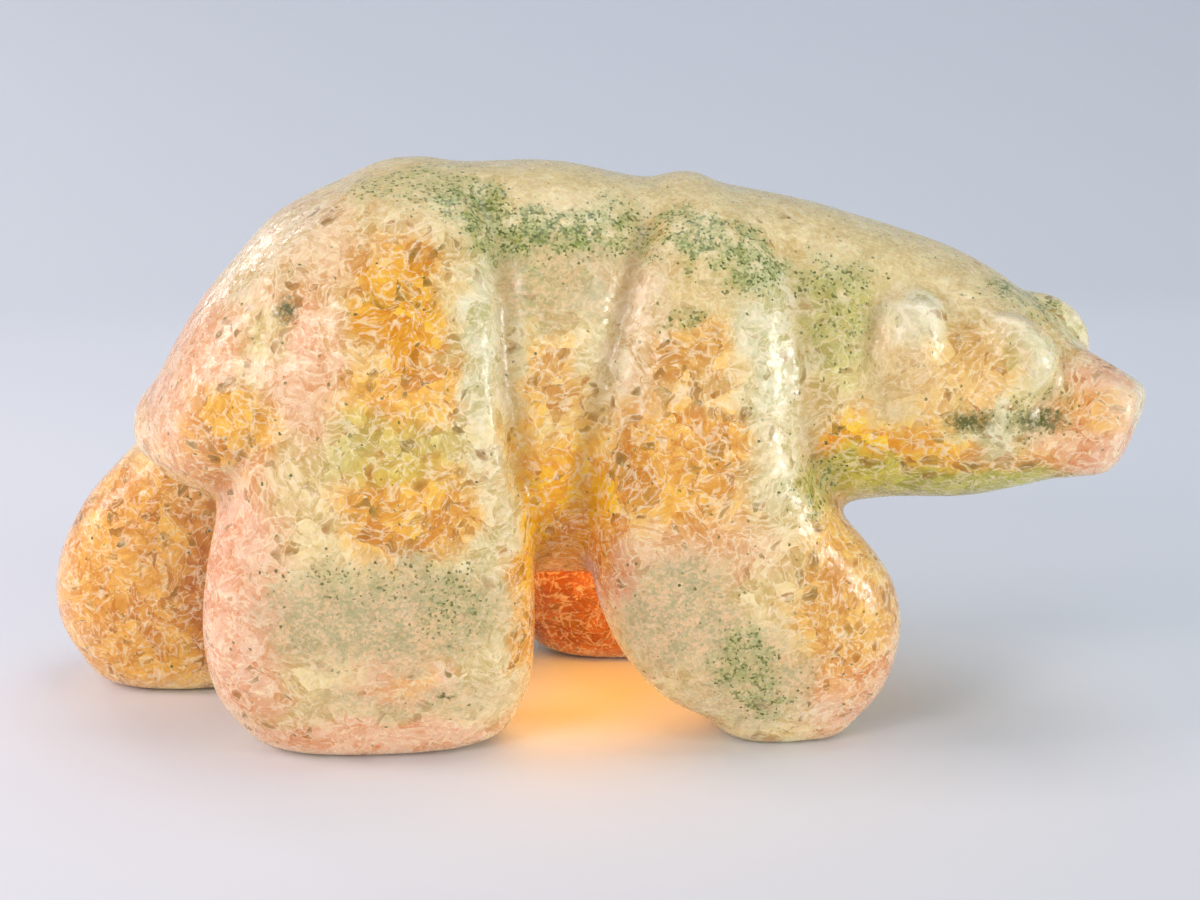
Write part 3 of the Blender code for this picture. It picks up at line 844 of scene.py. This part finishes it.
@dataclass
class CarvedBear:
    """The carving's skin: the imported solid's form, finely meshed, with its chips and rubbed planes."""

    node: str = "bear"
    body: str = "root"
    slot: str = "mottled_stone"
    mesh_size: float = 0.00135
    rubs: int = 10
    unevenness: float = 0.0005
    unevenness_width: float = 0.016
    unevenness_level: float = 0.62
    # A stroke stays on its own side of the heart, and fades where the skin turns away from that side.
    heart_mm: float = 8.0
    facing_from: float = 0.05
    facing_range: float = 0.40
    # A stain fades out over this range of its reach, and wanders by waves of these widths and shifts.
    fade_to: float = 1.35
    fade_range: float = 0.75
    wander_mm: tuple[tuple[float, float], ...] = ((16.0, 5.0), (6.0, 4.0), (2.5, 2.5))
    wander_seed: int = 7
    # The relief counts from these depths on, and in full at the range more.
    feel_passes: int = 80
    hollow_from_mm: float = 0.2
    ridge_from_mm: float = 0.7
    relief_range_mm: float = 1.6

    def build(
        self,
        stone: bpy.types.Material,
        patches: tuple[Patch, ...],
        strokes: tuple[Stroke, ...],
        swells: tuple[Swell, ...],
    ) -> bpy.types.Object:
        """Makes the skin and ties it to the frame.

        Args:
            stone: the finish.
            patches: the stained parts of the block, and those with painted glow, shade or highlight.
            strokes: the grooves and ridges that the tool left.
            swells: the places left fuller or rubbed lower.

        Returns:
            The finished piece.
        """
        skin = self.copy_of_solid()
        self.refine(skin)
        self.carve(skin, strokes, swells)
        self.rub_unevenly(skin)
        self.soak(skin, patches)
        self.feel_relief(skin)
        self.dress(skin, stone)
        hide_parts(self.node)
        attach(skin, self.body)
        return skin

    def copy_of_solid(self) -> bpy.types.Object:
        """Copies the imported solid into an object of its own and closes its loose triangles."""
        bpy.ops.object.select_all(action="DESELECT")
        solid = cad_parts[self.node]
        skin = bpy.data.objects.new("bear_skin", solid.data.copy())
        bpy.context.scene.collection.objects.link(skin)
        skin.data.name = "bear_skin"
        bpy.context.view_layer.objects.active = skin
        skin.select_set(True)
        bpy.ops.object.mode_set(mode="EDIT")
        bpy.ops.mesh.select_all(action="SELECT")
        bpy.ops.mesh.remove_doubles(threshold=0.00001)
        bpy.ops.mesh.normals_make_consistent(inside=False)
        bpy.ops.object.mode_set(mode="OBJECT")
        return skin

    def apply(self, skin: bpy.types.Object, name: str, kind: str, settings: dict) -> None:
        """Adds one modifier and applies it.

        Args:
            skin: the piece.
            name: the modifier's name.
            kind: the modifier's type name.
            settings: the modifier's own properties by name.
        """
        modifier = skin.modifiers.new(name, kind)
        for key, value in settings.items():
            setattr(modifier, key, value)
        bpy.context.view_layer.objects.active = skin
        bpy.ops.object.modifier_apply(modifier=modifier.name)

    def refine(self, skin: bpy.types.Object) -> None:
        """Rounds the solid's facets away and meshes it finely."""
        self.apply(skin, "round", "SUBSURF", {"levels": 2, "render_levels": 2})
        self.apply(skin, "mesh", "REMESH", {"mode": "VOXEL", "voxel_size": self.mesh_size})
        self.apply(skin, "rub", "SMOOTH", {"factor": 0.5, "iterations": self.rubs})

    def rub_unevenly(self, skin: bpy.types.Object) -> None:
        """Leaves the slight hollows and swells of stone rubbed down by hand."""
        waves = bpy.data.textures.new("rubbed_unevenness", "CLOUDS")
        waves.noise_scale = self.unevenness_width
        waves.noise_depth = 1
        settings = {"texture": waves, "strength": self.unevenness, "mid_level": self.unevenness_level}
        self.apply(skin, "unevenness", "DISPLACE", {**settings, "texture_coords": "LOCAL"})
        bpy.data.textures.remove(waves)

    def read_points(self, skin: bpy.types.Object, name: str) -> np.ndarray:
        """Reads one vector of every point of the skin, as rows."""
        rows = np.empty(len(skin.data.vertices) * 3)
        skin.data.vertices.foreach_get(name, rows)
        return rows.reshape(-1, 3)

    def write_attribute(self, skin: bpy.types.Object, name: str, rows: np.ndarray) -> None:
        """Writes one vector for every point of the skin into an attribute."""
        attribute = skin.data.attributes.new(name, "FLOAT_VECTOR", "POINT")
        attribute.data.foreach_set("vector", rows.ravel())

    def carve(
        self, skin: bpy.types.Object, strokes: tuple[Stroke, ...], swells: tuple[Swell, ...]
    ) -> None:
        """Cuts the grooves and leaves the ridges and swells, each stroke on its own side of the block.

        Args:
            skin: the piece.
            strokes: the grooves and ridges.
            swells: the fuller and the lower places.
        """
        places = self.read_points(skin, "co") / MM
        normals = self.read_points(skin, "normal")
        seen = places[:, (0, 2)]
        push = np.zeros(len(places))
        for stroke in strokes:
            facing = (stroke.side * normals[:, 1] - self.facing_from) / self.facing_range
            facing = np.clip(facing, 0.0, 1.0)
            facing *= stroke.side * places[:, 1] > self.heart_mm
            path = np.array(stroke.path, dtype=float)
            away = np.full(len(places), np.inf)
            for start, end in zip(path[:-1], path[1:]):
                span = end - start
                share = np.clip((seen - start) @ span / (span @ span), 0.0, 1.0)[:, None]
                away = np.minimum(away, np.linalg.norm(seen - start - share * span, axis=1))
            push += stroke.height * facing * np.exp(-((away / stroke.width) ** 2))
        for swell in swells:
            far = np.linalg.norm((places - swell.centre) / swell.reach, axis=1)
            push += swell.height * np.exp(-(far**2))
        carved = (places + normals * push[:, None]) * MM
        skin.data.vertices.foreach_set("co", carved.ravel())
        skin.data.update()

    def soak(self, skin: bpy.types.Object, patches: tuple[Patch, ...]) -> None:
        """Soaks the stains and the painted glow, shade and highlight into the skin, with ragged edges: one
        channel of an attribute for each.

        Args:
            skin: the piece.
            patches: the stained parts of the block, and those with painted glow, shade or highlight.
        """
        places = self.read_points(skin, "co") / MM
        ragged = places.copy()
        noise.seed_set(self.wander_seed)
        for wave_mm, shift_mm in self.wander_mm:
            waves = [noise.noise_vector(Vector(place / wave_mm)) for place in places]
            ragged += shift_mm * np.array(waves)
        soaked = {name: np.zeros_like(places) for name in {stain.value[0] for stain in Stain}}
        for patch in patches:
            far = np.linalg.norm((ragged - patch.centre) / patch.reach, axis=1)
            inside = np.clip((self.fade_to - far) / self.fade_range, 0.0, 1.0)
            amount = patch.strength * inside * inside * (3 - 2 * inside)
            name, channel = patch.stain.value
            soaked[name][:, channel] = np.maximum(soaked[name][:, channel], amount)
        for name, amounts in sorted(soaked.items()):
            self.write_attribute(skin, name, amounts)

    def feel_relief(self, skin: bpy.types.Object) -> None:
        """Finds the hollows and ridges, where shade and highlight are painted: how far each point lies
        below or above its wide surroundings.
        """
        places = self.read_points(skin, "co") / MM
        normals = self.read_points(skin, "normal")
        ends = np.empty(len(skin.data.edges) * 2, dtype=np.int64)
        skin.data.edges.foreach_get("vertices", ends)
        one, other = ends.reshape(-1, 2).T
        count = len(places)
        touching = (np.bincount(one, minlength=count) + np.bincount(other, minlength=count))[:, None]
        around = places
        for _ in range(self.feel_passes):
            sums = [
                np.bincount(one, around[other, axis], count) + np.bincount(other, around[one, axis], count)
                for axis in range(3)
            ]
            around = (around + np.stack(sums, axis=1) / touching) / 2
        drop = ((around - places) * normals).sum(axis=1)
        hollow = np.clip((drop - self.hollow_from_mm) / self.relief_range_mm, 0.0, 1.0)
        ridge = np.clip((-drop - self.ridge_from_mm) / self.relief_range_mm, 0.0, 1.0)
        self.write_attribute(skin, RELIEF_NAME, np.stack([hollow, ridge, np.zeros(count)], axis=1))

    def dress(self, skin: bpy.types.Object, stone: bpy.types.Material) -> None:
        """Gives the skin its finish and smooth shading."""
        skin.data.materials.clear()
        skin.data.materials.append(stone)
        skin.data.shade_smooth()


@dataclass
class Sweep:
    """The paper sweep that the carving stands on: a level floor that curves up into a backdrop."""

    half_width: float = 2.2
    front: float = -1.6
    back: float = 1.5
    rise: float = 1.9
    bend: float = 0.9

    def build(self, paper: bpy.types.Material) -> bpy.types.Object:
        """Args:
            paper: the finish.

        Returns:
            The sweep.
        """
        bpy.ops.object.select_all(action="DESELECT")
        bpy.ops.mesh.primitive_plane_add(size=2.0)
        sweep = bpy.context.object
        sweep.name = "paper_sweep"
        sweep.data.name = "paper_sweep"
        for vertex in sweep.data.vertices:
            vertex.co.x *= self.half_width
            vertex.co.y = self.back if vertex.co.y > 0 else self.front
        bpy.ops.object.mode_set(mode="EDIT")
        bpy.ops.mesh.select_mode(type="EDGE")
        self.select_edges(sweep, self.back, 0.0)
        bpy.ops.mesh.extrude_region_move(TRANSFORM_OT_translate={"value": (0, 0, self.rise)})
        self.select_edges(sweep, self.back, 0.0)
        bpy.ops.mesh.bevel(offset=self.bend, segments=32, profile=0.5)
        bpy.ops.object.mode_set(mode="OBJECT")
        sweep.data.materials.clear()
        sweep.data.materials.append(paper)
        sweep.data.shade_smooth()
        return sweep

    def select_edges(self, sweep: bpy.types.Object, along: float, height: float) -> None:
        """Selects the edges that lie wholly at one distance back and one height.

        Args:
            sweep: the sweep, in edit mode.
            along: the place along Y.
            height: the height.
        """
        bpy.ops.mesh.select_all(action="DESELECT")
        bpy.ops.object.mode_set(mode="OBJECT")
        for edge in sweep.data.edges:
            ends = [sweep.data.vertices[v].co for v in edge.vertices]
            edge.select = all(abs(end.y - along) < MM and abs(end.z - height) < MM for end in ends)
        bpy.ops.object.mode_set(mode="EDIT")


def add_lamp(name: str, place: Triple, watts: float, colour: str) -> bpy.types.Object:
    """Adds a lamp with an area, facing down and out of the camera's sight."""
    bpy.ops.object.light_add(type="AREA", location=place)
    lamp = bpy.context.object
    lamp.name = name
    lamp.data.name = name
    lamp.data.energy = watts
    lamp.data.color = linear(colour)[:3]
    lamp.visible_camera = False
    return lamp


@dataclass(frozen=True)
class Softbox:
    """One soft rectangular lamp, by its place, what it points at and its strength."""

    name: str
    place: Triple
    aim: Triple
    width: float
    height: float
    watts: float
    colour: str

    def build(self) -> bpy.types.Object:
        """Sets the lamp up and points it at its aim."""
        lamp = add_lamp(self.name, self.place, self.watts, self.colour)
        lamp.data.shape = "RECTANGLE"
        lamp.data.size = self.width
        lamp.data.size_y = self.height
        look = Vector(self.aim) - Vector(self.place)
        lamp.rotation_euler = look.to_track_quat("-Z", "Y").to_euler()
        return lamp


SOFTBOXES = (
    Softbox("key_front_left", (-0.80, -0.85, 0.60), (0.0, 0.0, 0.07), 0.4, 0.55, 4.95, "#FFF5F2"),
    Softbox("low_left", (-0.80, -0.06, 0.40), (0.0, 0.0, 0.06), 0.25, 0.4, 2.9, "#FFE4E4"),
    Softbox("rim_back_left", (-0.66, 1.00, 0.50), (0.0, 0.0, 0.10), 0.12, 0.5, 0.95, "#FFF4F2"),
    Softbox("low_front", (0.10, -1.10, 0.13), (0.0, 0.0, 0.05), 0.9, 0.2, 1.9, "#FFE6C4"),
    Softbox("fill_right", (1.10, -0.62, 0.20), (0.0, 0.0, 0.07), 0.35, 0.35, 6.5, "#FFFBF6"),
    Softbox("top", (0.2, 0.00, 1.20), (0.0, 0.0, 0.05), 0.8, 0.6, 3.2, "#F6FAFF"),
)


@dataclass(frozen=True)
class LightThroughStone:
    """The orange light that has passed through the thin belly and falls on the floor between the legs."""

    place: Triple = (0.006, -0.008, 0.042)
    size: float = 0.05
    watts: float = 0.040
    colour: str = "#FFB200"

    def build(self) -> bpy.types.Object:
        """Sets the glow up."""
        lamp = add_lamp("light_through_stone", self.place, self.watts, self.colour)
        lamp.data.size = self.size
        return lamp


@dataclass(frozen=True)
class SoftRoom:
    """The pale room around the table, which fills the shadows."""

    colour: str = "#D3E4F2"
    strength: float = 0.44

    def build(self) -> None:
        """Makes the room's light."""
        world = bpy.data.worlds.new("pale_room")
        world.use_nodes = True
        world.node_tree.nodes.clear()
        inputs = {"Color": linear(self.colour), "Strength": self.strength}
        light = add_node(world.node_tree, "ShaderNodeBackground", {}, inputs)
        add_node(world.node_tree, "ShaderNodeOutputWorld", {}, {"Surface": light.outputs[0]})
        bpy.context.scene.world = world


@dataclass(frozen=True)
class PhotoCamera:
    """The camera at the photograph's angle: slightly above the bear and a touch to its rear."""

    target: Triple = (0.0048, -0.02105, 0.080)
    distance: float = 0.61468
    azimuth: float = -5.0
    pitch: float = 15.0
    lens: float = 67.0

    def build(self) -> bpy.types.Object:
        """Sets the camera up and makes it the scene's."""
        turn, tip = math.radians(self.azimuth), math.radians(self.pitch)
        back = Vector((math.sin(turn) * math.cos(tip), -math.cos(turn) * math.cos(tip), math.sin(tip)))
        bpy.ops.object.camera_add(location=Vector(self.target) + back * self.distance)
        camera = bpy.context.object
        camera.name = "photo_camera"
        camera.rotation_euler = (-back).to_track_quat("-Z", "Y").to_euler()
        camera.data.lens = self.lens
        camera.data.sensor_width = 36.0
        camera.data.clip_start = 0.01
        camera.data.clip_end = 20.0
        bpy.context.scene.camera = camera
        return camera


def main() -> None:
    """Builds the dressed carving, the sweep, the lights and the camera, in that order."""
    logging.basicConfig(level=logging.INFO, format="%(message)s")
    stone = MottledStone().build(FLECKS)
    bear = CarvedBear().build(stone, RIGHT_SIDE + CRESTS + FAR_SIDES, STROKES, SWELLS)
    log.info("%s: %d faces", bear.name, len(bear.data.polygons))
    sweep = Sweep().build(SweepPaper().build())
    log.info("%s: %d faces", sweep.name, len(sweep.data.polygons))
    for softbox in SOFTBOXES:
        log.info("%s: %g W", softbox.build().name, softbox.watts)
    log.info("%s", LightThroughStone().build().name)
    SoftRoom().build()
    camera = PhotoCamera().build()
    log.info("%s: %g mm", camera.name, camera.data.lens)
    bpy.context.scene.view_settings.view_transform = "Standard"


if __name__ == "__main__":
    main()
